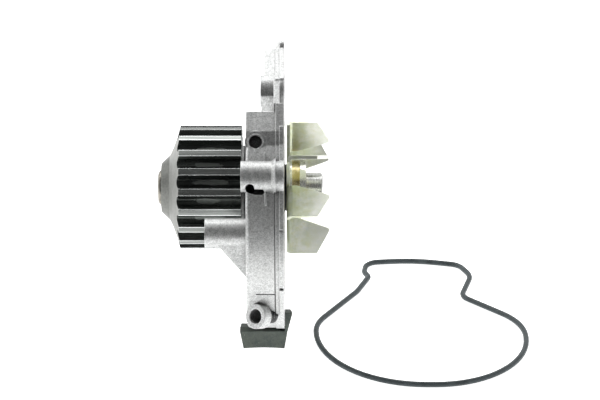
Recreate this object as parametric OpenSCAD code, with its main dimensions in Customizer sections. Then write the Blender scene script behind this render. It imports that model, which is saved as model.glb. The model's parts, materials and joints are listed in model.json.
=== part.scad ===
// Engine water pump with a timing-belt sprocket, stamped impeller and loose moulded ring gasket.
// X runs along the shaft: sprocket towards -X, impeller towards +X, and x = 0 is the machined
// mounting face. The pump is drawn upright (y = depth, z = up its long axis) and then leans back.

/* [Placement] */
// Angle by which the pump leans back on its rubber foot
lean = 26; // [24:1:28]

/* [Sprocket] */
// Number of belt teeth
tooth_count = 19; // [18:1:20]
// Pitch of the belt teeth
belt_pitch = 9.525; // [9.4:0.005:9.6]
// Width of the toothed band
tooth_width = 28.3; // [26:0.1:29]
// Radial depth of a tooth gap
tooth_depth = 3.5; // [3:0.1:3.8]
// Width of a tooth gap at the rim
gap_width = 6.5; // [6:0.1:6.8]

/* [Shaft and bearing] */
// Radius of the shaft in the bearing and sprocket
shaft_r = 7.95; // [7.9:0.01:8]
// Radius of the shaft under the seal and impeller
impeller_shaft_r = 6.7; // [6.5:0.1:6.8]
// Outer radius of the bearing
bearing_r = 15; // [15:0.1:15.5]
// Radius of a bearing ball
ball_r = 3.175; // [3.1:0.005:3.2]
// Balls in each row
ball_count = 8; // [7:1:8]

/* [Impeller] */
// Number of impeller blades
blade_count = 7; // [6:1:7]
// Thickness of the impeller sheet
sheet_t = 1.5; // [1.2:0.1:1.6]
// Outer radius of the impeller
impeller_r = 31.2; // [31:0.1:31.4]
// Height of a blade's peak above the mounting face
blade_peak = 20.6; // [19:0.1:22]
// Height of a blade's outer corner above the mounting face
blade_corner = 15; // [13:0.1:16]

/* [Housing] */
// Radius of the housing's round body
body_r = 56; // [55.5:0.1:56.5]
// Thickness of the round body from the mounting face
body_t = 16.9; // [16.6:0.1:17]
// Thickness of the upper passage lobe
lobe_t = 9; // [8.6:0.1:9.4]
// Outer radius of the bearing nose
nose_r = 19.4; // [19:0.1:20]
// Radius of the mounting bolt holes
bolt_r = 3.3; // [3.2:0.1:3.5]
// Radius of the mounting bolt bosses
bolt_boss_r = 6.85; // [6.6:0.05:7]
// Radius of the threaded hole that faces forward
side_hole_r = 3; // [2.9:0.1:3.1]

/* [Ring gasket] */
// Thickness of the moulded ring gasket
ring_d = 2.6; // [2.4:0.1:2.8]
// Where the loose ring lies on the ground, to the right of the mounting face
ring_x = 64.4; // [60:0.1:70]
// Where the loose ring lies on the ground, front to back
ring_y = -13.5; // [-20:0.1:0]

/* [Rubber foot] */
// Height of the mounting axis above the ground
axis_height = 69.5; // [69:0.1:70.5]

/* [Hidden] */
$fn = 96;
eps = 0.01;

tip_gap = 0.3;                              // from the tooth tips to the belt's pitch line
sprocket_r = tooth_count * belt_pitch / (2 * PI) - tip_gap;
teeth_end = -19.5;                          // sprocket edge next to the housing
teeth_start = teeth_end - tooth_width;      // sprocket edge next to the hub
hub_face = teeth_start - 8.7;
shaft_end = hub_face - 1.5;
cup_r = 21.2;                               // hollow inside the sprocket

bearing_end = -19;                          // bearing end next to the seal
bearing_start = -46;
ball_track_r = 10.5;                        // centre circle of the balls
row_front = -40;
row_rear = -26;
seal_bore_r = 16.2;
seal_seat = -11.5;                          // bottom of the seal bore
impeller_hole_r = 11;
hub_flange_r = 13.4;
recess = 2;                                 // depth of the coolant recess in the mounting face
shaft_step = -12;

lobe_c = [-0.8, -8.5];                      // centre of the round body: depth, height
bolt_a = [-55.2, 4.6];
bolt_b = [-32, 43.2];
bolt_c = [34.5, 46];
bolt_d = -bolt_a;
bolt_e = lobe_c + 56 * [sin(50), -cos(50)];
cover_boss = [-46, -20.4];
side_hole = [-12.5, -50, 19.9];             // mouth of the hole that faces forward
low_boss = [-12.8, -36.5, -57.9];
low_boss_turn = 38;
low_hole_r = 3.4;
low_collar_r = 5.6;
weep_r = 2.05;
gusset_lean = 28;
lobe_top = 62.9;
block_top = 33.6;
flange_top = 37.3;
lobe_slope = bolt_b + 6.6 * [-sin(45), cos(45)];  // foot of the lobe's 45 degree flank

// Ring gasket centreline: corners and their radii, round lobe centred on [0, 0].
ring_path = [[48, -49.7, 44], [48, 8.5, 30], [20, 35, 7], [25.8, 56, 12], [20.5, 67.6, 8],
    [-2, 72.6, 70], [-24.8, 70, 7], [-26, 60, 6], [-23.9, 55, 3], [-29.8, 40, 22], [-49.7, 7.8, 26],
    [-49.7, -49.7, 49.7]];

// Geometry of corner i of a closed counter-clockwise path: [centre, radius, start angle, turn].
function unit(v) = v / norm(v);
function spot(p, i) = let (q = p[(i + len(p)) % len(p)]) [q[0], q[1]];
function bend(p, i) =
    let (into = unit(spot(p, i) - spot(p, i - 1)), out = unit(spot(p, i + 1) - spot(p, i)))
    let (turn = atan2(into[0] * out[1] - into[1] * out[0], into * out), r = p[i][2])
    let (side = sign(turn), start = spot(p, i) - into * r * tan(abs(turn) / 2))
    [start + side * r * [-into[1], into[0]], r, atan2(-side * into[0], side * into[1]), turn];

// Points of such a path moved outwards by grow, with arcs every few degrees.
function grown(p, grow) = [for (i = [0:len(p) - 1])
    let (b = bend(p, i), r = b[1] + sign(b[3]) * grow, n = max(2, ceil(abs(b[3]) / 5)))
    for (k = [0:n]) b[0] + r * [cos(b[2] + b[3] * k / n), sin(b[2] + b[3] * k / n)]];

// Ring path as it lies in the mounting face: depth, height.
function on_pump(points) = [for (q = points) [lobe_c[0] - q[0], lobe_c[1] + q[1]]];

// Draws 2D shapes (depth, height) as a plate from x0 to x1.
module plate(x0, x1) translate([x0, 0, 0]) rotate([90, 0, 90]) linear_extrude(x1 - x0) children();
// Turns a profile (radius, x) round the shaft axis.
module turned() rotate([0, 90, 0]) rotate_extrude() children();
// Round bar or hole along X.
module bar(at, r, x0, x1) translate([x0, at[0], at[1]]) rotate([0, 90, 0]) cylinder(r = r, h = x1 - x0);
// Turned ring with a rectangular section.
module ring(r0, r1, x0, x1) turned() translate([r0, x0]) square([r1 - r0, x1 - x0]);
// Everything that belongs to the pump leans back by the same angle.
module pump() rotate([-lean, 0, 0]) children();

// Outline of the passage lobe above the round body, grown by a margin, with its own top.
module lobe_outline(grow, top) polygon([[28 + grow, 0], [22 + grow, top - 8], [15 + grow, top],
    [lobe_slope[0] + top - lobe_slope[1] - 1.4 * grow, top],
    [lobe_slope[0] - grow, lobe_slope[1] + 0.4 * grow], [-38.6 - grow, 40.9], [-44.5, 33],
    [-44.5, 20], [-39.4, 10], [-39.4, 0]]);

module body_outline(r, top) intersection() {
    translate(lobe_c) circle(r, $fn = 192);
    translate([-80, -80]) square([160, 80 + top]);
}

// Round body with a softened front edge, cut off level at the top.
module round_body() intersection() {
    translate([0, lobe_c[0], lobe_c[1]]) turned() {
        translate([0, -body_t + 1.5]) square([body_r, body_t - 1.5 - 3.8]);
        translate([0, -body_t]) square([body_r - 1.5, 2]);
        translate([body_r - 1.5, -body_t + 1.5]) circle(1.5);
    }
    translate([-30, -80, -80]) cube([40, 160, 80 + block_top]);
}

// Bolt boss that widens to a web joining it to the round body.
module bolt_boss(at, x0) {
    bar(at, bolt_boss_r, x0, 0);
    plate(max(x0, -8), 0) polygon([at + [0, 6], at * 0.8 + [0, 9], at * 0.8 - [0, 9], at - [0, 6]]);
}

// Front pocket between the bearing nose and the outer wall, split by ribs.
module pockets() difference() {
    plate(-body_t - 1, -8.5) difference() {
        body_outline(46, 29);
        circle(24.5);
        for (a = [35, 90, 145, 205, 250, 300]) rotate(a) translate([0, -2]) square([60, 4]);
        translate([-60, -5.5]) square([50, 10]);
        translate(cover_boss) circle(9.5);
    }
}

// Ring groove and coolant recess, cut into the mounting face.
module face_cuts() {
    plate(-recess, 1) difference() {
        polygon(on_pump(grown(ring_path, 1.55)));
        polygon(on_pump(grown(ring_path, -1.45)));
    }
    plate(-recess, 1) difference() {
        polygon(on_pump(grown(ring_path, -4.4)));
        translate([-14, 24]) square([28, 4]);
    }
    plate(-6.9, -recess + eps) polygon(grown([[19, 30, 4], [15, 56, 6], [-14, 56, 6], [-17, 30, 4]], 0));
}

module shaft_bores() {
    ring(0, bearing_r, bearing_start - 10, bearing_end);
    ring(0, 14, bearing_end - eps, seal_seat + eps);
    ring(0, seal_bore_r, seal_seat, 1);
}

// Squarer shoulder of the body at the top, with a wall that leans back above the forward hole.
module shoulder_outline(grow, top)
    polygon([[-25, top], [-45.5 - grow, top], [-49.9 - grow, 24.6], [-49.9 - grow, 14], [-25, 14]]);

// Rim strip along the mounting face, left out where the foot is.
module rim_outline() difference() {
    body_outline(body_r + 1.4, 26.9);
    polygon([[-80, -80], [80, -80], [80, -38], [0, -58], [-80, -58]]);
    for (w = [-20, -46]) translate([-80, w]) square([60, 1]);
}

module housing_solid() {
    round_body();
    plate(-3.7, 0) body_outline(body_r + 0.4, flange_top);
    plate(-3.7, 0) shoulder_outline(0.5, flange_top);
    plate(-body_t, -3) shoulder_outline(0, block_top);
    plate(-2, 0) rim_outline();
    plate(-2, 0) polygon([[-25, 26.9], [-50.9, 26.9], [-51.3, 24.6], [-51.3, 12], [-25, 12]]);
    plate(-lobe_t, 0) lobe_outline(0, lobe_top);
    plate(-3.9, 0) lobe_outline(1.2, lobe_top + 3.9);
    plate(-2, 0) lobe_outline(2, lobe_top + 3.9);
    plate(-3.9, 0) polygon([[-44, 20], [-41.5, 37], [-37, 41], [38, 50], [48, 20]]);
    // web that carries the lobe's flank past the upper bolt boss down to the flange
    plate(-4.6, -2) polygon([[-36.2, 50], [-45.8, 37.2], [-45.4, 32], [-30, 32], [-30, 50]]);
    bar([-21.3, 63.8], 2.9, -2, 0);
    bar([0, 0], nose_r, -46.4, -body_t + 2);
    turned() polygon([[nose_r - 1, -body_t - 1.4], [nose_r, -body_t - 1.4], [nose_r + 2.6, -body_t + 1],
        [nose_r - 1, -body_t + 1]]);
    bolt_boss(bolt_a, -19);
    translate([-5.6, bolt_a[0], bolt_a[1]]) rotate([0, 90, 0])
        cylinder(r1 = bolt_boss_r - 0.1, r2 = bolt_boss_r + 1.5, h = 2);
    bar(bolt_b, 7, -10.6, 0);
    plate(-10.2, -4) polygon([[-38.5, 41], [-44.3, 33.2], [-44.3, 30], [-30, 30], [-30, 41]]);
    bar(bolt_b, 8.2, -2, 0);
    bar(bolt_c, 7, -10.6, 0);
    bolt_boss(bolt_d, -14);
    bolt_boss(bolt_e, -14);
    bar(cover_boss, 6.5, -35.1, -body_t + 3);
    // gusset under the long boss, leaning back towards its foot
    translate([0, -50, -25]) rotate([gusset_lean, 0, 0]) plate_y(0, 4.5)
        polygon([[-30.2, 0], [-16, 0], [-16, -18.5], [-17.5, -16.5]]);
    // boss and raised rim round the hole that faces forward
    at_side_hole() translate([0, 0, -12]) cylinder(r = side_hole_r + 1.9, h = 12);
    at_side_hole() translate([0, 0, -12]) cylinder(r = side_hole_r + 0.6, h = 12.6);
    // low boss: a straight stub with a slanted collar on its end
    at_low_boss() rotate([0, low_boss_turn, 0]) translate([1, 0, -20]) cylinder(r = 5.2, h = 19);
    at_low_boss() translate([0, 0, -4.5]) cylinder(r = low_collar_r, h = 4.5);
    // flash left by the mould where the near boss meets the wall
    plate_y(-57.6, -52) polygon([[-8.8, -1], [-8.1, -1], [-7.5, -8], [-8.2, -8.3]]);
    plate_y(-54, -50) polygon([[-8.9, 10], [-8.2, 10], [-8.1, 14.8], [-8.6, 15.2]]);
}

module at_side_hole() translate(side_hole) rotate([90, 0, 0]) children();
module at_low_boss() translate(low_boss) rotate([90, 0, -low_boss_turn]) children();

// Draws 2D shapes (x, height) as a plate between two depths.
module plate_y(y0, y1) translate([0, y1, 0]) rotate([90, 0, 0]) linear_extrude(y1 - y0) children();

module housing() color("#b9bcbb") pump() difference() {
    housing_solid();
    pockets();
    shaft_bores();
    face_cuts();
    for (at = [bolt_a, bolt_b, bolt_c, bolt_d, bolt_e]) bar(at, bolt_r, -40, 1);
    bar(cover_boss, 2.5, -40, -20);
    at_side_hole() translate([0, 0, -11]) cylinder(r = side_hole_r, h = 15);
    at_low_boss() translate([0, 0, -13]) cylinder(r = low_hole_r, h = 20);
    at_low_boss() cylinder(r = low_collar_r - 0.1, h = 8);
    // weep passage from the chamber behind the seal, and the hollow beside its mouth
    translate([-13.1, -12, -0.75]) rotate([90, 0, 0]) rotate([0, -2.2, 0]) cylinder(r = weep_r, h = 60);
    plate_y(-60, -51)
        polygon([[-15.7, -1], [-9, -1.2], [-8.4, -2.4], [-9.4, -3.5], [-12.5, -3.5], [-14.6, -3]]);
    // groove where the flange meets the wall
    difference() {
        translate([0, lobe_c[0], lobe_c[1]]) ring(body_r - 0.45, body_r + 3, -4.15, -3.7);
        translate([-10, -80, 13]) cube([20, 160, 100]);
        translate([-10, -20, -80]) cube([20, 160, 200]);
    }
    // score line low on the wall
    plate(-12.5, -4.2) translate([-50, -48.1]) square([9.9, 0.45]);
}

module bearing_outer_ring() color("#9fa3a6") pump() turned() difference() {
    translate([13, bearing_start]) square([bearing_r - 13, bearing_end - bearing_start]);
    for (x = [row_front, row_rear]) translate([ball_track_r, x]) circle(ball_r + 0.07);
}

// Lip seal section, with its outer face at -1.
module lip_seal() polygon([[8.05, -0.5], [8.5, -1], [13, -1], [13, 0.2], [9, 0.2], [8.4, 0.5], [8.05, 0]]);
module bearing_seal_front() color("#2b2d2c") pump() turned()
    translate([0, bearing_start + 1]) lip_seal();
module bearing_seal_rear() color("#2b2d2c") pump() turned()
    translate([0, bearing_end - 1]) mirror([0, 1]) lip_seal();

// Crown cage open towards -X, with a pocket for each ball.
module cage(x) difference() {
    ring(9.3, 11.7, x - 1.6, x + 4.6);
    balls(x, ball_r + 0.1);
}
module balls(x, r) for (k = [0:ball_count - 1]) rotate([k * 360 / ball_count, 0, 0])
    translate([x, 0, ball_track_r]) sphere(r);
module ball_cage_front() color("#d8cfae") pump() cage(row_front);
module balls_front() color("#d9dcde") pump() balls(row_front, ball_r);
module ball_cage_rear() color("#d8cfae") pump() cage(row_rear);
module balls_rear() color("#d9dcde") pump() balls(row_rear, ball_r);

module shaft() color("#c3c6c8") pump() turned() difference() {
    polygon([[0, shaft_end], [shaft_r - 0.8, shaft_end], [shaft_r, shaft_end + 0.8], [shaft_r, shaft_step],
        [impeller_shaft_r, shaft_step], [impeller_shaft_r, 17.1], [impeller_shaft_r - 0.6, 17.7], [0, 17.7]]);
    for (x = [row_front, row_rear]) translate([ball_track_r, x]) circle(ball_r + 0.07);
}

// One belt tooth gap, with a round bottom and flanks that open towards the rim.
gap_bottom_r = 2.3;
module tooth_gap() {
    flank = tooth_depth - 1.9;
    half = 2.25;
    outer_half = half + (gap_width / 2 - half) * (flank + 1) / flank;
    translate([0, sprocket_r - tooth_depth + gap_bottom_r]) circle(gap_bottom_r);
    translate([0, sprocket_r - flank])
        polygon([[-half, 0], [half, 0], [outer_half, flank + 1], [-outer_half, flank + 1]]);
}

module sprocket() color("#3a3d3e") pump() difference() {
    turned() polygon([[shaft_r, hub_face], [11.4, hub_face], [12.1, hub_face + 0.7], [15, teeth_start - 4.8],
        [18.3, teeth_start - 3.3], [24, teeth_start - 1.2], [sprocket_r, teeth_start],
        [sprocket_r, teeth_end], [cup_r, teeth_end], [cup_r, teeth_start + 3],
        [cup_r - 2, teeth_start + 0.6], [shaft_r, teeth_start + 0.6]]);
    for (k = [0:tooth_count - 1]) plate(hub_face, teeth_end + 1) rotate((k + 0.5) * 360 / tooth_count)
        tooth_gap();
}

module slinger() color("#a8abad") pump() turned()
    polygon([[shaft_r, -17.6], [9, -17.6], [12.4, -16.2], [12.4, -15.2], [9, -16.4], [shaft_r, -16.4]]);

module seal_cup() color("#b08d4a") pump() turned() polygon([[8.8, -11.3], [seal_bore_r, -11.3],
    [seal_bore_r, -recess], [18.2, -recess], [18.2, -recess + 0.7], [15.3, -recess + 0.7],
    [15.3, -10.5], [9.6, -10.5],
    [9.6, -6.2], [8.8, -6.2]]);
module seal_bellows() color("#1f2121") pump() turned() polygon([[13.1, -10.4], [15.2, -10.4], [15.2, -8.8],
    [14.3, -8.4], [14.3, -4], [12.75, -4], [12.75, -4.9], [13.4, -4.9], [13.4, -9.6], [13.1, -9.6]]);

// Round wire spring: rings of points swept along a helix about X.
spring_r = 11.4;
wire_r = 0.55;
spring_turns = 3;
spring_x = [-9.8, -6.9];
module seal_spring() color("#c9ccce") pump() {
    steps = spring_turns * 24;
    sides = 8;
    points = [for (i = [0:steps], j = [0:sides - 1])
        let (a = i * 15, b = j * 360 / sides, r = spring_r + wire_r * cos(b))
        [spring_x[0] + (spring_x[1] - spring_x[0]) * i / steps + wire_r * sin(b), r * cos(a), r * sin(a)]];
    sweep_sides = [for (i = [0:steps - 1], j = [0:sides - 1]) let (n = (j + 1) % sides)
        [i * sides + j, i * sides + n, (i + 1) * sides + n, (i + 1) * sides + j]];
    polyhedron(points, concat(sweep_sides, [[for (j = [sides - 1:-1:0]) j]],
        [[for (j = [0:sides - 1]) steps * sides + j]]));
}
module seal_spring_plate() color("#b7babc") pump() ring(9.9, 12.6, -6.1, -5.5);
module carbon_ring() color("#26282a") pump() turned()
    polygon([[9.2, -5.4], [12.6, -5.4], [12.6, -3.2], [11.5, -3.2], [11.5, -2.4], [9.2, -2.4]]);

module mating_ring() color("#e8e4d8") pump() ring(8.4, 12, -2.3, 0.1);
module mating_ring_boot() color("#191b1b") pump() turned() polygon([[impeller_shaft_r, -2],
    [8.35, -2], [8.35, 0.15], [10.7, 0.15], [10.7, 1], [impeller_shaft_r, 1]]);

impeller_x = 0.55;                          // how far the whole impeller is shifted along the shaft
plate_x = 0.5;
hub_seat = impeller_x + plate_x + sheet_t + 0.03;
hub_start = impeller_x + plate_x;
module impeller_hub() color("#c9b45e") pump() turned() polygon([[impeller_shaft_r, hub_start],
    [impeller_hole_r - 0.03, hub_start], [impeller_hole_r - 0.03, hub_seat], [hub_flange_r, hub_seat],
    [hub_flange_r, hub_seat + 0.9], [12.6, hub_seat + 0.9], [12.6, 7.1], [hub_flange_r, 7.1],
    [hub_flange_r, 9.9], [impeller_shaft_r, 9.9]]);

// A blade stands on the chord from its inner root to its outer corner, seen along X with
// 0 degrees towards the front.
blade_start = 18.4 * [cos(2.7), sin(2.7)];
blade_end = impeller_r * [cos(24.5), -sin(24.5)];
blade_step = 360 / blade_count;
chord = norm(blade_end - blade_start);
chord_way = unit(blade_end - blade_start);
chord_side = [-chord_way[1], chord_way[0]];
bend_r = 2 * sheet_t;

// A point given by its distance and angle round the shaft, in the blade's chord frame.
function in_chord(r, a) = let (v = r * [cos(a), -sin(a)] - blade_start) [v * chord_way, v * chord_side];

// One blade with its piece of plate: x along the chord, y outwards across it, z along the shaft.
module blade() {
    peak = blade_peak - impeller_x;
    translate([0, 0, plate_x]) linear_extrude(sheet_t)
        polygon([[0, -bend_r], in_chord(12, -12), in_chord(0, 0), in_chord(14.8, 53), [chord, -bend_r]]);
    // rounded fold from the plate up into the wall
    translate([0, -bend_r, plate_x + bend_r]) rotate([90, 0, 90]) linear_extrude(chord) intersection() {
        difference() {
            circle(bend_r, $fn = 64);
            circle(bend_r - sheet_t, $fn = 64);
        }
        translate([0, -bend_r - 1]) square([bend_r + 1, bend_r + 1]);
    }
    // standing wall
    rotate([90, 0, 0]) linear_extrude(sheet_t) polygon([[0, plate_x + bend_r], [0, 5.2], [4.9, peak - 1],
        [5.5, peak], [6.8, peak - 0.2], [chord, blade_corner - impeller_x], [chord, plate_x + bend_r]]);
}

module impeller() color("#a9ad86") translate([impeller_x, 0, 0]) difference() {
    for (k = [0:blade_count - 1]) at_blade(k) blade();
    pump() bar([0, 0], impeller_hole_r, 0, 4);
}

// Places a blade's chord frame on blade k, around the shaft axis.
module at_blade(k) pump() rotate([-k * blade_step, 0, 0]) mirror([0, 1, 0]) multmatrix([[0, 0, 1, 0],
    [chord_way[0], chord_side[0], 0, blade_start[0]], [chord_way[1], chord_side[1], 0, blade_start[1]],
    [0, 0, 0, 1]]) children();

// Rubber foot: L-section block that cradles the round body and stands flat on the ground.
foot_front = -27.4;
foot_lip_back = -15.7;
foot_back = 9;
foot_top = 8.9;
body_y = lobe_c[0] * cos(lean) + lobe_c[1] * sin(lean);
body_z = -lobe_c[0] * sin(lean) + lobe_c[1] * cos(lean);
module foot_rubber() color("#4a5452") difference() {
    union() {
        translate([0, 0, -axis_height]) plate_y(foot_front, foot_lip_back)
            polygon([[-19, 0], [-14, 0.35], [-9.5, 0.5], [-5, 0.35], [0, 0], [1.4, foot_top], [3.6, 18],
                [0.15, 18.6], [0.15, foot_top], [-20.6, foot_top]]);
        translate([-15.6, foot_lip_back - 1, -axis_height])
            cube([15, foot_back - foot_lip_back + 1, foot_top]);
    }
    translate([-30, body_y, body_z]) rotate([0, 90, 0]) cylinder(r = body_r + 0.5, h = 30.15, $fn = 192);
    translate([-2.3, body_y, body_z]) rotate([0, 90, 0]) cylinder(r = body_r + 1.8, h = 2.45, $fn = 192);
    // the lip falls away towards the back
    translate([-1, foot_front, 18.7 - axis_height]) rotate([-20.6, 0, 0]) cube([10, 30, 10]);
}

// Loose ring gasket on the ground: a round section swept along the ring path.
ring_sides = 10;
module ring_gasket() color("#39424a") translate([ring_x, ring_y, ring_d / 2 - axis_height]) {
    loops = [for (j = [0:ring_sides - 1]) grown(ring_path, ring_d / 2 * cos(j * 360 / ring_sides))];
    rings = len(loops[0]);
    points = [for (i = [0:rings - 1], j = [0:ring_sides - 1])
        [loops[j][i][0], loops[j][i][1], ring_d / 2 * sin(j * 360 / ring_sides)]];
    polyhedron(points, [for (i = [0:rings - 1], j = [0:ring_sides - 1])
        let (here = i * ring_sides, there = (i + 1) % rings * ring_sides, k = (j + 1) % ring_sides)
        [here + j, here + k, there + k, there + j]]);
}

housing();
bearing_outer_ring();
bearing_seal_front();
bearing_seal_rear();
ball_cage_front();
balls_front();
ball_cage_rear();
balls_rear();
shaft();
sprocket();
slinger();
seal_cup();
seal_bellows();
seal_spring();
seal_spring_plate();
carbon_ring();
mating_ring();
mating_ring_boot();
impeller_hub();
impeller();
foot_rubber();
ring_gasket();
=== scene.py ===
"""Looks of the water pump: materials, screw threads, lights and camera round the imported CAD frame."""
import json
import math

import bpy
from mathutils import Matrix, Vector


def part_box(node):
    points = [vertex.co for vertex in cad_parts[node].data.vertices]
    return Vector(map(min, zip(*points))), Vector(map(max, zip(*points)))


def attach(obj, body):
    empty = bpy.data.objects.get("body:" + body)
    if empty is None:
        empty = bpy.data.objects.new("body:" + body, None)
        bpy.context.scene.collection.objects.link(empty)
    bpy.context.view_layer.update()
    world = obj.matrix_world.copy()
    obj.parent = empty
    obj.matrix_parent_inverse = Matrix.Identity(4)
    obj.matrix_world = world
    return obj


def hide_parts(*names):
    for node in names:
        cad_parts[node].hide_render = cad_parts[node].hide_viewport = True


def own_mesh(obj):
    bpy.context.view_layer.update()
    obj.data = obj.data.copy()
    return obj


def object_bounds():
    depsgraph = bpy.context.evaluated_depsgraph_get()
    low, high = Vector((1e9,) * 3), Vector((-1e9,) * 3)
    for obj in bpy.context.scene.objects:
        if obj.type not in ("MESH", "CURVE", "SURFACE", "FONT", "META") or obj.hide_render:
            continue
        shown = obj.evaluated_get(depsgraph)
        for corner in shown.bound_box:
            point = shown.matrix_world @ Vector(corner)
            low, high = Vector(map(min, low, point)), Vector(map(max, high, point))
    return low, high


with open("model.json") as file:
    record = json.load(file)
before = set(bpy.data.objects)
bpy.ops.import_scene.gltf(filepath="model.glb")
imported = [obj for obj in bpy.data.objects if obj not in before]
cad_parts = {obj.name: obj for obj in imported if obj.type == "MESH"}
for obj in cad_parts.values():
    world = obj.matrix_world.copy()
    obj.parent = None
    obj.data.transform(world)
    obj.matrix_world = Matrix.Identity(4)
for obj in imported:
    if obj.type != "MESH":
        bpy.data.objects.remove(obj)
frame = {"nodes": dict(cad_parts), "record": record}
cad_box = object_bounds()
mounts = {mount["name"]: mount for mount in frame["record"]["mounts"]}

MM = 0.001
LEAN = math.radians(26)
UP = Vector((0, math.sin(LEAN), math.cos(LEAN)))
AWAY = Vector((0, math.cos(LEAN), -math.sin(LEAN)))
GROUND = cad_box[0].z
TEETH = 19
TOOTH_DEPTH = 3.5 * MM
TOOTH_EDGE = 0.155  # from a tooth's centre to its edge, as a share of the pitch
SPROCKET_HUB = 8.7 * MM  # length of the sprocket's hub, in front of the toothed band
HUB_RADIUS = 16 * MM  # the sprocket's hub is bare steel up to here
MACHINED_ENDS = [x * MM for x in (-10.6, -14, -19, -35.1, -46.4)]  # faced-off ends of bosses and nose
COLLAR_RADIUS = 13 * MM  # beyond it, the impeller hub is a bright collar
TAPPED_HOLES = {"front_thread": 1.0 * MM, "cover_thread": 1.0 * MM, "low_thread": 1.25 * MM}  # pitches


class Nodes:
    """Short ways to add nodes to the tree of a material or of the world."""

    def __init__(self, tree):
        self.tree = tree

    def node(self, kind, **settings):
        made = self.tree.nodes.new(kind)
        for key, value in settings.items():
            setattr(made, key, value)
        return made

    def put(self, socket, value):
        if isinstance(value, bpy.types.NodeSocket):
            self.tree.links.new(value, socket)
        elif socket.type == "RGBA":
            socket.default_value = (*value, 1.0)
        else:
            socket.default_value = value

    def split(self, vector):
        parts = self.node("ShaderNodeSeparateXYZ")
        self.put(parts.inputs[0], vector)
        return parts.outputs

    def calc(self, operation, *values):
        made = self.node("ShaderNodeMath", operation=operation)
        for socket, value in zip(made.inputs, values):
            self.put(socket, value)
        return made.outputs[0]

    def vector(self, operation, first, second):
        made = self.node("ShaderNodeVectorMath", operation=operation)
        self.put(made.inputs[0], first)
        self.put(made.inputs[1], second)
        return made.outputs["Value" if operation == "DOT_PRODUCT" else "Vector"]

    def ramp(self, value, start, end, low=0.0, high=1.0, course="SMOOTHSTEP"):
        made = self.node("ShaderNodeMapRange", interpolation_type=course)
        for socket, given in zip(made.inputs, (value, start, end, low, high)):
            self.put(socket, given)
        return made.outputs[0]

    def either(self, *masks):
        total = masks[0]
        for mask in masks[1:]:
            total = self.calc("MAXIMUM", total, mask)
        return total


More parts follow.
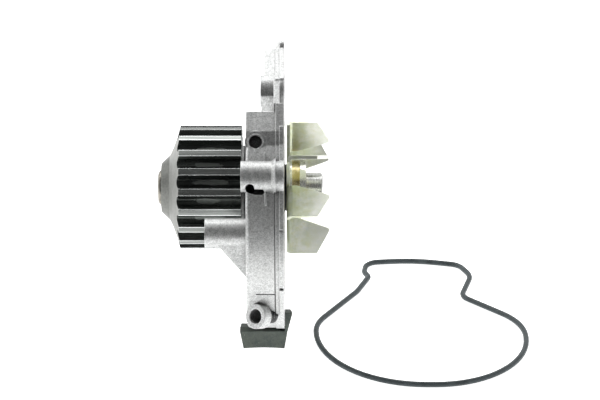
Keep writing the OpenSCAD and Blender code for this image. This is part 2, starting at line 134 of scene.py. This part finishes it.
class Look(Nodes):
    """One procedural material. Positions are those of the upright pump: x, depth, height in metres."""

    def __init__(self, name, metallic=0.0, **uniform):
        self.material = bpy.data.materials.new(name)
        self.material.use_nodes = True
        super().__init__(self.material.node_tree)
        self.shader = self.tree.nodes["Principled BSDF"]
        self.shader.inputs["Metallic"].default_value = metallic
        for socket, value in uniform.items():
            self.shader.inputs[socket.replace("_", " ")].default_value = value
        coordinates = self.node("ShaderNodeTexCoord")
        upright = self.node("ShaderNodeVectorRotate", rotation_type="X_AXIS")
        self.put(upright.inputs["Vector"], coordinates.outputs["Object"])
        self.put(upright.inputs["Angle"], LEAN)
        self.place = upright.outputs["Vector"]
        self.x, self.depth, self.height = self.split(self.place)
        self.normal_x = self.split(coordinates.outputs["Normal"])["X"]

    def near(self, value, target, reach):
        """Mask that is 1 within the reach of the target and 0 elsewhere."""
        return self.calc("COMPARE", value, target, reach)

    def mix(self, share, first, second):
        made = self.node("ShaderNodeMix", data_type="RGBA")
        self.put(made.inputs[0], share)
        self.put(made.inputs[6], first)
        self.put(made.inputs[7], second)
        return made.outputs[2]

    def noise(self, size, detail=3.0, stretch=(1, 1, 1), roughness=0.6):
        """Noise from 0 to 1 with features of the given size in metres, drawn out along the axes."""
        scaled = self.vector("MULTIPLY", self.place, [1 / (size * s) for s in stretch])
        made = self.node("ShaderNodeTexNoise")
        self.put(made.inputs["Vector"], scaled)
        made.inputs["Scale"].default_value = 1.0
        made.inputs["Detail"].default_value = detail
        made.inputs["Roughness"].default_value = roughness
        return made.outputs[0]

    def radius(self):
        """Distance from the shaft axis."""
        squares = [self.calc("MULTIPLY", side, side) for side in (self.depth, self.height)]
        return self.calc("SQRT", self.calc("ADD", *squares))

    def turning_marks(self, along, pitch):
        """Fine grooves left by a lathe, repeating at the pitch along a radius or a length."""
        return self.calc("SINE", self.calc("MULTIPLY", along, 2 * math.pi / pitch))

    def soft_edges(self, reach):
        """Normal that rounds the edges off, and a mask of where it does, used to paint highlights on the
        edges.
        """
        rounded = self.node("ShaderNodeBevel", samples=6)
        rounded.inputs["Radius"].default_value = reach
        plain = self.node("ShaderNodeNewGeometry")
        agreement = self.vector("DOT_PRODUCT", rounded.outputs[0], plain.outputs["Normal"])
        return rounded.outputs[0], self.ramp(agreement, 0.995, 0.85)

    def corner_shade(self, reach):
        """Mask of corners where light hardly gets in, used to paint shade into them."""
        made = self.node("ShaderNodeAmbientOcclusion", samples=6)
        made.inputs["Distance"].default_value = reach
        return self.ramp(made.outputs["AO"], 0.75, 0.2)

    def inside_bore(self, mount_name):
        """Mask of the wall of a threaded bore, from a little below its mouth, used to paint shade into it.
        """
        mount = mounts[mount_name]
        axis = Vector(mount["axis"]).normalized()
        depth_axis = Vector((axis.x, axis.dot(AWAY), axis.dot(UP)))
        at = Vector(mount["pos_m"])
        centre = Vector((at.x, at.dot(AWAY), at.dot(UP)))
        radius = mount["dims"]["r_mm"] * MM
        half = mount["dims"]["length_mm"] * MM / 2
        offset = self.vector("SUBTRACT", self.place, centre)
        along = self.calc("ABSOLUTE", self.vector("DOT_PRODUCT", offset, depth_axis))
        away = self.node("ShaderNodeVectorMath", operation="LENGTH")
        self.put(away.inputs[0], self.vector("CROSS_PRODUCT", offset, depth_axis))
        close = self.ramp(away.outputs["Value"], radius + 0.1 * MM, radius)
        return self.calc("MULTIPLY", close, self.ramp(along, half, half - 1.5 * MM))

    def recess_shade(self):
        """Mask of the hollow beside the weep hole, below the wall's own surface, used to paint shade into
        it.
        """
        beside = self.calc("MULTIPLY", self.near(self.x, -12 * MM, 4.2 * MM),
                           self.near(self.height, -2 * MM, 1.8 * MM))
        return self.calc("MULTIPLY", beside, self.ramp(self.depth, -56.4 * MM, -56.0 * MM))

    def finish(self, colour, roughness, height=None, depth=0.0, normal=None, strength=1.0):
        """Give the shader its colour, its roughness and, where a height is given, bumps of that depth."""
        self.put(self.shader.inputs["Base Color"], colour)
        self.put(self.shader.inputs["Roughness"], roughness)
        if height is not None:
            bump = self.node("ShaderNodeBump")
            bump.inputs["Distance"].default_value = depth
            bump.inputs["Strength"].default_value = strength
            self.put(bump.inputs["Height"], height)
            if normal is not None:
                self.put(bump.inputs["Normal"], normal)
            normal = bump.outputs[0]
        if normal is not None:
            self.put(self.shader.inputs["Normal"], normal)
        return self.material


def cast_aluminium():
    look = Look("cast_aluminium", metallic=0.85)
    grain = look.noise(0.45 * MM, detail=3)
    coarse = look.noise(1.5 * MM, detail=4)
    cloud = look.noise(14 * MM, detail=2)
    normal, edges = look.soft_edges(0.6 * MM)
    face = look.ramp(look.x, -0.2 * MM, -0.05 * MM)
    face = look.calc("MULTIPLY", face, look.ramp(look.normal_x, 0.9, 0.97))
    ends = look.either(*(look.near(look.x, end, 0.1 * MM) for end in MACHINED_ENDS))
    ends = look.calc("MULTIPLY", ends, look.ramp(look.normal_x, -0.9, -0.97))
    machined = look.either(face, ends)
    speckle = look.calc("ADD", look.calc("MULTIPLY", grain, 0.65), look.calc("MULTIPLY", coarse, 0.35))
    skin = look.mix(look.ramp(speckle, 0.36, 0.64), (0.40, 0.41, 0.405), (0.82, 0.83, 0.825))
    skin = look.mix(look.ramp(cloud, 0.3, 0.75, 0.0, 0.35), skin, (0.62, 0.62, 0.61))
    # painted highlight: edges brightened to near-white
    skin = look.mix(look.calc("MULTIPLY", edges, 0.85), skin, (0.95, 0.96, 0.96))
    # painted shade: corners darkened nearly to black
    skin = look.mix(look.calc("MULTIPLY", look.corner_shade(3 * MM), 0.75), skin, (0.07, 0.07, 0.065))
    colour = look.mix(machined, skin, (0.64, 0.65, 0.65))
    roughness = look.ramp(machined, 0, 1, 0.52, 0.24)
    marks = look.calc("MULTIPLY", look.turning_marks(look.radius(), 0.7 * MM), 0.05)
    height = look.calc("ADD", speckle, look.calc("MULTIPLY", marks, machined))
    # painted shade: the walls of the tapped bores darkened nearly to black
    bore_shade = look.either(*(look.inside_bore(name) for name in TAPPED_HOLES))
    colour = look.mix(look.calc("MULTIPLY", bore_shade, 0.85), colour, (0.05, 0.05, 0.05))
    # painted shade: the hollow beside the weep hole darkened nearly to black
    colour = look.mix(look.calc("MULTIPLY", look.recess_shade(), 0.9), colour, (0.04, 0.04, 0.04))
    return look.finish(colour, roughness, height, 0.13 * MM, normal, 0.8)


def black_steel():
    look = Look("black_steel", metallic=0.75)
    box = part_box("sprocket")
    band_start = box[0].x + SPROCKET_HUB
    band_centre = (band_start + box[1].x) / 2
    outer = box[1].y
    radius = look.radius()
    normal, edges = look.soft_edges(0.22 * MM)
    land = look.ramp(radius, outer - 0.35 * MM, outer - 0.15 * MM)
    # bare turned steel: whatever faces forward, and the middle of the hub
    hub = look.either(look.ramp(look.normal_x, -0.12, -0.2), look.ramp(radius, HUB_RADIUS + MM, HUB_RADIUS))
    hub = look.calc("MULTIPLY", hub, look.ramp(look.x, band_start + 0.1 * MM, band_start))
    streaks = look.noise(0.8 * MM, detail=3, stretch=(30, 1, 1))
    cloud = look.noise(7 * MM, detail=3, stretch=(3, 1, 1))
    # painted highlight: bright line along both edges of every tooth
    turn = look.calc("ARCTAN2", look.calc("MULTIPLY", look.depth, -1.0), look.height)
    step = look.calc("PINGPONG", look.calc("MULTIPLY", turn, TEETH / (2 * math.pi)), 0.5)
    edge_highlights = look.calc("MULTIPLY", look.near(step, TOOTH_EDGE, 0.022), land)
    edge_highlights = look.calc("MULTIPLY", edge_highlights, look.ramp(streaks, 0.25, 0.5, 0.45, 1.0))
    # painted reflection: pale oval patch in the middle of every tooth gap
    across = look.calc("DIVIDE", look.calc("SUBTRACT", look.x, band_centre), 7.5 * MM)
    rise = look.calc("DIVIDE", look.calc("SUBTRACT", radius, outer - TOOTH_DEPTH), 0.45 * MM)
    oval = look.calc("ADD", look.calc("MULTIPLY", across, across), look.calc("MULTIPLY", rise, rise))
    oval = look.calc("ADD", oval, look.ramp(look.noise(7 * MM, detail=4), 0.3, 0.7, -0.45, 0.5))
    gap_reflection = look.ramp(oval, 1.0, 0.7)
    black = look.mix(look.ramp(cloud, 0.35, 0.7), (0.040, 0.045, 0.042), (0.090, 0.100, 0.092))
    # painted sheen: the tooth tops streaked lighter than the black gaps
    land_sheen = look.calc("MULTIPLY", land, look.ramp(streaks, 0.3, 0.8, 0.5, 0.9))
    black = look.mix(land_sheen, black, (0.36, 0.38, 0.365))
    black = look.mix(look.calc("MULTIPLY", gap_reflection, 0.55), black, (0.34, 0.365, 0.345))
    # painted highlight: the rounded edges and the tooth-edge lines near-white
    black = look.mix(look.either(look.calc("MULTIPLY", edges, 0.5), edge_highlights), black, (0.92, 0.95, 0.94))
    turned = look.mix(look.ramp(streaks, 0.3, 0.7), (0.15, 0.155, 0.145), (0.20, 0.205, 0.19))
    colour = look.mix(hub, black, turned)
    roughness = look.calc("ADD", look.ramp(cloud, 0.2, 0.8, 0.20, 0.30), look.calc("MULTIPLY", hub, 0.15))
    roughness = look.calc("ADD", roughness, look.calc("MULTIPLY", gap_reflection, 0.25))
    marks = look.calc("MULTIPLY", look.turning_marks(radius, 0.45 * MM), hub)
    height = look.calc("ADD", look.calc("MULTIPLY", marks, 0.3), look.calc("MULTIPLY", streaks, 0.25))
    return look.finish(colour, roughness, height, 0.03 * MM, normal, 0.6)


def passivated_sheet():
    look = Look("passivated_sheet", metallic=0.8, Anisotropic=0.25)
    cloud = look.noise(6 * MM, detail=3)
    film = look.noise(2.4 * MM, detail=5, roughness=0.7)
    rolling = look.noise(0.35 * MM, detail=2, stretch=(14, 1, 1))
    normal, edges = look.soft_edges(0.35 * MM)
    colour = look.mix(look.ramp(cloud, 0.35, 0.68), (0.68, 0.73, 0.54), (0.92, 0.94, 0.85))
    colour = look.mix(look.ramp(film, 0.45, 0.75, 0.0, 0.6), colour, (0.70, 0.70, 0.38))
    colour = look.mix(look.ramp(film, 0.45, 0.3, 0.0, 0.4), colour, (0.72, 0.79, 0.76))
    # painted highlight: the blades paler towards their tips
    colour = look.mix(look.ramp(look.x, 6 * MM, 17 * MM, 0.0, 0.6), colour, (0.90, 0.91, 0.87))
    # painted highlight on the edges
    colour = look.mix(look.calc("MULTIPLY", edges, 0.7), colour, (0.92, 0.93, 0.90))
    # painted shade: corners darkened to dark olive
    colour = look.mix(look.calc("MULTIPLY", look.corner_shade(3 * MM), 0.5), colour, (0.16, 0.16, 0.08))
    roughness = look.ramp(film, 0.2, 0.8, 0.28, 0.5)
    height = look.calc("ADD", rolling, look.calc("MULTIPLY", film, 1.5))
    return look.finish(colour, roughness, height, 0.05 * MM, normal, 0.6)


def turned_brass(name="hub_brass", base=(0.72, 0.60, 0.26)):
    look = Look(name, metallic=0.95)
    normal, edges = look.soft_edges(0.2 * MM)
    marks = look.turning_marks(look.x, 0.35 * MM)
    cloud = look.noise(4 * MM, detail=4)
    colour = look.mix(look.ramp(cloud, 0.35, 0.7), base, tuple(0.25 + 0.75 * c for c in base))
    colour = look.mix(look.ramp(cloud, 0.6, 0.4, 0.0, 0.5), colour, tuple(0.5 * c for c in base))
    rim = look.ramp(look.radius(), COLLAR_RADIUS - 0.1 * MM, COLLAR_RADIUS + 0.2 * MM)
    # painted highlight on the edges; beyond COLLAR_RADIUS, the collar's own pale colour
    colour = look.mix(look.either(look.calc("MULTIPLY", edges, 0.6), rim), colour, (0.90, 0.90, 0.84))
    return look.finish(colour, look.ramp(cloud, 0.2, 0.8, 0.18, 0.36), marks, 0.012 * MM, normal, 0.5)


def bare_metal(name, base, rough, marks_pitch=0.3 * MM, tarnish=0.35):
    """Ground, drawn or stamped metal with fine marks round the shaft axis."""
    look = Look(name, metallic=0.95)
    normal, edges = look.soft_edges(0.2 * MM)
    cloud = look.noise(3.5 * MM, detail=4)
    fine = look.noise(0.25 * MM, detail=2, stretch=(1, 9, 9))
    marks = look.calc("ADD", look.turning_marks(look.x, marks_pitch), look.calc("MULTIPLY", fine, 2.0))
    dull = tuple(c * (1 - tarnish) for c in base)
    colour = look.mix(look.ramp(cloud, 0.3, 0.7), dull, base)
    # painted highlight on the edges
    colour = look.mix(look.calc("MULTIPLY", edges, 0.5), colour, (0.85, 0.86, 0.86))
    roughness = look.ramp(fine, 0.2, 0.8, rough, rough + 0.14)
    return look.finish(colour, roughness, marks, 0.01 * MM, normal, 0.4)


def shaft_steel():
    look = Look("shaft_steel", metallic=0.92)
    normal, edges = look.soft_edges(0.3 * MM)
    cloud = look.noise(2.2 * MM, detail=4)
    grinding = look.noise(0.2 * MM, detail=2, stretch=(1, 12, 12))
    sprocket_end = look.ramp(look.x, -50 * MM, -54 * MM)
    steel = look.mix(look.ramp(cloud, 0.3, 0.7), (0.58, 0.59, 0.57), (0.76, 0.77, 0.75))
    brown = look.mix(look.ramp(cloud, 0.3, 0.7), (0.10, 0.085, 0.06), (0.24, 0.21, 0.16))
    colour = look.mix(look.calc("MULTIPLY", sprocket_end, 0.8), steel, brown)
    # painted highlight on the edges
    colour = look.mix(look.calc("MULTIPLY", edges, 0.35), colour, (0.85, 0.85, 0.82))
    height = look.calc("ADD", grinding, look.turning_marks(look.x, 0.28 * MM))
    return look.finish(colour, look.ramp(grinding, 0.2, 0.8, 0.16, 0.34), height, 0.012 * MM, normal, 0.4)


def rubber(name, dark, light, roughness, grain=0.5 * MM, dust=0.0):
    """Moulded rubber with a mottled bloom, fine grain and a little dust."""
    look = Look(name, Specular_IOR_Level=0.4)
    bloom = look.noise(5 * MM, detail=4)
    fine = look.noise(grain, detail=3)
    normal, edges = look.soft_edges(0.3 * MM)
    colour = look.mix(look.ramp(bloom, 0.3, 0.72), dark, light)
    colour = look.mix(look.ramp(fine, 0.3, 0.75, 0.0, 0.3), colour, tuple(1.5 * c for c in light))
    # painted highlight on the edges
    colour = look.mix(look.calc("MULTIPLY", edges, 0.35), colour, tuple(1.8 * c for c in light))
    specks = look.ramp(look.noise(0.7 * MM, detail=1), 0.70, 0.78, 0.0, dust)
    colour = look.mix(specks, colour, (0.5, 0.52, 0.5))
    rough = look.ramp(bloom, 0.2, 0.8, roughness - 0.08, roughness + 0.1)
    return look.finish(colour, rough, fine, 0.06 * MM, normal, 0.5)


def smooth_solid(name, dark, light, roughness):
    """Moulded or lapped material: nylon, carbon, ceramic."""
    look = Look(name)
    normal, edges = look.soft_edges(0.15 * MM)
    cloud = look.noise(1.5 * MM, detail=4)
    fine = look.noise(0.2 * MM, detail=2)
    colour = look.mix(look.ramp(cloud, 0.3, 0.7), dark, light)
    # painted highlight on the edges
    colour = look.mix(look.calc("MULTIPLY", edges, 0.4), colour, tuple(min(1.0, 1.4 * c) for c in light))
    rough = look.ramp(cloud, 0.2, 0.8, roughness, roughness + 0.12)
    return look.finish(colour, rough, fine, 0.01 * MM, normal, 0.4)


def clothe(node, material):
    for slot in frame["nodes"][node].material_slots:
        slot.material = material


def clothe_everything():
    """Give every node its material. Returns the two that the added pieces share."""
    aluminium = cast_aluminium()
    clothe("housing", aluminium)
    clothe("sprocket", black_steel())
    clothe("shaft", shaft_steel())
    clothe("impeller", passivated_sheet())
    clothe("impeller_hub", turned_brass())
    clothe("seal_cup", turned_brass("seal_brass", (0.62, 0.44, 0.18)))
    clothe("bearing_outer_ring", bare_metal("bearing_steel", (0.56, 0.57, 0.58), 0.2))
    polished = bare_metal("ball_steel", (0.80, 0.81, 0.82), 0.05, tarnish=0.1)
    clothe("balls_front", polished)
    clothe("balls_rear", polished)
    clothe("slinger", bare_metal("stamped_steel", (0.52, 0.54, 0.55), 0.28, 0.6 * MM))
    clothe("seal_spring_plate", bare_metal("pressed_plate", (0.55, 0.56, 0.56), 0.3, 0.5 * MM))
    spring_steel = bare_metal("spring_steel", (0.62, 0.63, 0.63), 0.22, 0.1 * MM)
    clothe("seal_spring", spring_steel)
    lips = rubber("seal_rubber", (0.012, 0.012, 0.012), (0.03, 0.03, 0.03), 0.5)
    clothe("bearing_seal_front", lips)
    clothe("bearing_seal_rear", lips)
    soft = rubber("bellows_rubber", (0.010, 0.010, 0.010), (0.025, 0.025, 0.026), 0.45)
    clothe("seal_bellows", soft)
    clothe("mating_ring_boot", soft)
    nylon = smooth_solid("cage_nylon", (0.60, 0.54, 0.38), (0.78, 0.73, 0.58), 0.42)
    clothe("ball_cage_front", nylon)
    clothe("ball_cage_rear", nylon)
    clothe("carbon_ring", smooth_solid("carbon", (0.015, 0.015, 0.017), (0.045, 0.045, 0.048), 0.3))
    clothe("mating_ring", smooth_solid("ceramic", (0.72, 0.69, 0.60), (0.84, 0.82, 0.75), 0.18))
    clothe("foot_rubber", rubber("foot_rubber", (0.062, 0.078, 0.069), (0.115, 0.132, 0.114), 0.72,
                                 dust=0.35))
    clothe("ring_gasket", rubber("ring_rubber", (0.035, 0.047, 0.050), (0.070, 0.088, 0.094), 0.46,
                                 grain=0.35 * MM))
    return aluminium, spring_steel


def add_mesh(name, points, faces, material):
    """New object in the scene with one material."""
    mesh = bpy.data.meshes.new(name)
    mesh.from_pydata(points, [], faces)
    mesh.materials.append(material)
    made = bpy.data.objects.new(name, mesh)
    bpy.context.collection.objects.link(made)
    return made


def swept_faces(steps, count, gaps):
    """Faces between neighbouring sections of count points each; gaps is count where a section closes."""
    return [(i * count + j, i * count + (j + 1) % count,
             (i + 1) * count + (j + 1) % count, (i + 1) * count + j)
            for i in range(steps) for j in range(gaps)]


def screw_thread(mount_name, pitch, material):
    """Helical thread ridge just inside a plain bore."""
    mount = mounts[mount_name]
    axis = Vector(mount["axis"]).normalized()
    radius = mount["dims"]["r_mm"] * MM
    length = mount["dims"]["length_mm"] * MM - 1.5 * pitch  # the ridge stays inside the bore at both ends
    side = axis.orthogonal().normalized()
    other = axis.cross(side)
    start = Vector(mount["pos_m"]) + axis * length / 2
    around = 28  # sections in one turn
    steps = int(length / pitch * around)
    # outline of the ridge: how far outward and how far along the axis, both in pitches
    section = ((0.024, 0.42), (-0.312, 0.08), (-0.312, -0.08), (0.024, -0.42))
    points = []
    for i in range(steps + 1):
        angle = 2 * math.pi * i / around
        out = side * math.cos(angle) + other * math.sin(angle)
        centre = start - axis * (pitch * i / around)
        for rise, shift in section:
            points.append(centre + out * (radius + rise * pitch) + axis * shift * pitch)
    faces = swept_faces(steps, len(section), len(section) - 1)
    ridge = add_mesh(mount_name + "_ridge", points, faces, material)
    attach(ridge, "housing")


def wire_spring(material):
    """Round wire coil of the shaft seal."""
    wire = 0.55 * MM  # radius of the wire
    coil = 11.4 * MM  # radius of the coil, to the middle of the wire
    turns = 3
    around = 36  # sections in one turn
    sides = 14
    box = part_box("seal_spring")
    start, end = box[0].x + wire, box[1].x - wire
    steps = turns * around
    points = []
    for i in range(steps + 1):
        angle = 2 * math.pi * i / around
        out = AWAY * math.cos(angle) + UP * math.sin(angle)
        along = start + (end - start) * i / steps
        for j in range(sides):
            turn = 2 * math.pi * j / sides
            x = along + wire * math.sin(turn)
            points.append(Vector((x, 0, 0)) + out * (coil + wire * math.cos(turn)))
    faces = swept_faces(steps, sides, sides)
    faces += [tuple(reversed(range(sides))), tuple(steps * sides + j for j in range(sides))]
    spring = add_mesh("wire_spring", points, faces, material)
    for face in spring.data.polygons[:-2]:
        face.use_smooth = True
    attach(spring, "housing")
    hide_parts("seal_spring")
    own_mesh(spring)


def add_camera():
    """Camera that looks down at the pump by the angle of its lean, so that it sees it square on."""
    width_seen = 0.2766  # of the plane through the shaft axis
    distance = 1.25
    aim = Vector((0.00715, 0, 0)) - 0.00576 * UP  # middle of the picture
    data = bpy.data.cameras.new("camera")
    data.sensor_width = 36
    data.lens = data.sensor_width * distance / width_seen
    data.clip_start = 0.05
    data.clip_end = 20
    camera = bpy.data.objects.new("camera", data)
    camera.location = aim - AWAY * distance
    camera.rotation_euler = (math.radians(90) - LEAN, 0, 0)
    bpy.context.collection.objects.link(camera)
    bpy.context.scene.camera = camera


def soft_light(name, place, size, power):
    """Rectangular lamp at a place, facing the pump."""
    data = bpy.data.lights.new(name, "AREA")
    data.shape = "RECTANGLE"
    data.size, data.size_y = size
    data.energy = power
    lamp = bpy.data.objects.new(name, data)
    lamp.location = place
    lamp.rotation_euler = (-Vector(place)).to_track_quat("-Z", "Y").to_euler()
    bpy.context.collection.objects.link(lamp)


def add_surroundings():
    """Studio that is bright behind, above and at both sides, and dark on the camera's side.

    The camera itself sees plain white all round.
    """
    world = bpy.data.worlds.new("studio")
    world.use_nodes = True
    bpy.context.scene.world = world
    room = Nodes(world.node_tree)
    background = room.tree.nodes["Background"]
    room.put(background.inputs["Color"], (1, 1, 1))
    direction = room.node("ShaderNodeTexCoord").outputs["Generated"]
    x, _, z = room.split(direction)
    towards_back = (-0.1, 0.9, 0.42)
    back = room.ramp(room.vector("DOT_PRODUCT", direction, towards_back), 0.05, 0.75, 0.02, 0.90)
    panels = room.ramp(room.calc("ABSOLUTE", x), 0.55, 0.95, 0.0, 0.8)
    front = room.ramp(z, 0.05, 0.40, 0.02, 0.15, course="LINEAR")
    pick = room.node("ShaderNodeMix")
    room.put(pick.inputs["Factor"], room.node("ShaderNodeLightPath").outputs["Is Camera Ray"])
    room.put(pick.inputs["A"], room.either(back, panels, front))
    room.put(pick.inputs["B"], 1.0)
    room.put(background.inputs["Strength"], pick.outputs["Result"])


def add_floor():
    """White, glowing floor. It ends short of the camera, to leave something dark for the pump to mirror."""
    reach = 6.0
    front = -0.24
    look = Look("floor_white", Emission_Color=(1, 1, 1, 1), Emission_Strength=1.0)
    paper = look.mix(look.noise(2.0, detail=2), (0.90, 0.90, 0.90), (0.93, 0.93, 0.93))
    corners = [(-reach, front, GROUND), (reach, front, GROUND),
               (reach, reach, GROUND), (-reach, reach, GROUND)]
    add_mesh("floor", corners, [(0, 1, 2, 3)], look.finish(paper, 0.7))


aluminium, spring_steel = clothe_everything()
wire_spring(spring_steel)
for hole, pitch in TAPPED_HOLES.items():
    screw_thread(hole, pitch, aluminium)
add_camera()
soft_light("top", place=(0.0, 0.65, 1.05), size=(1.6, 0.7), power=8)
soft_light("left", place=(-0.9, 0.4, 0.8), size=(0.5, 0.8), power=3)
add_surroundings()
add_floor()
bpy.context.scene.view_settings.view_transform = "Standard"
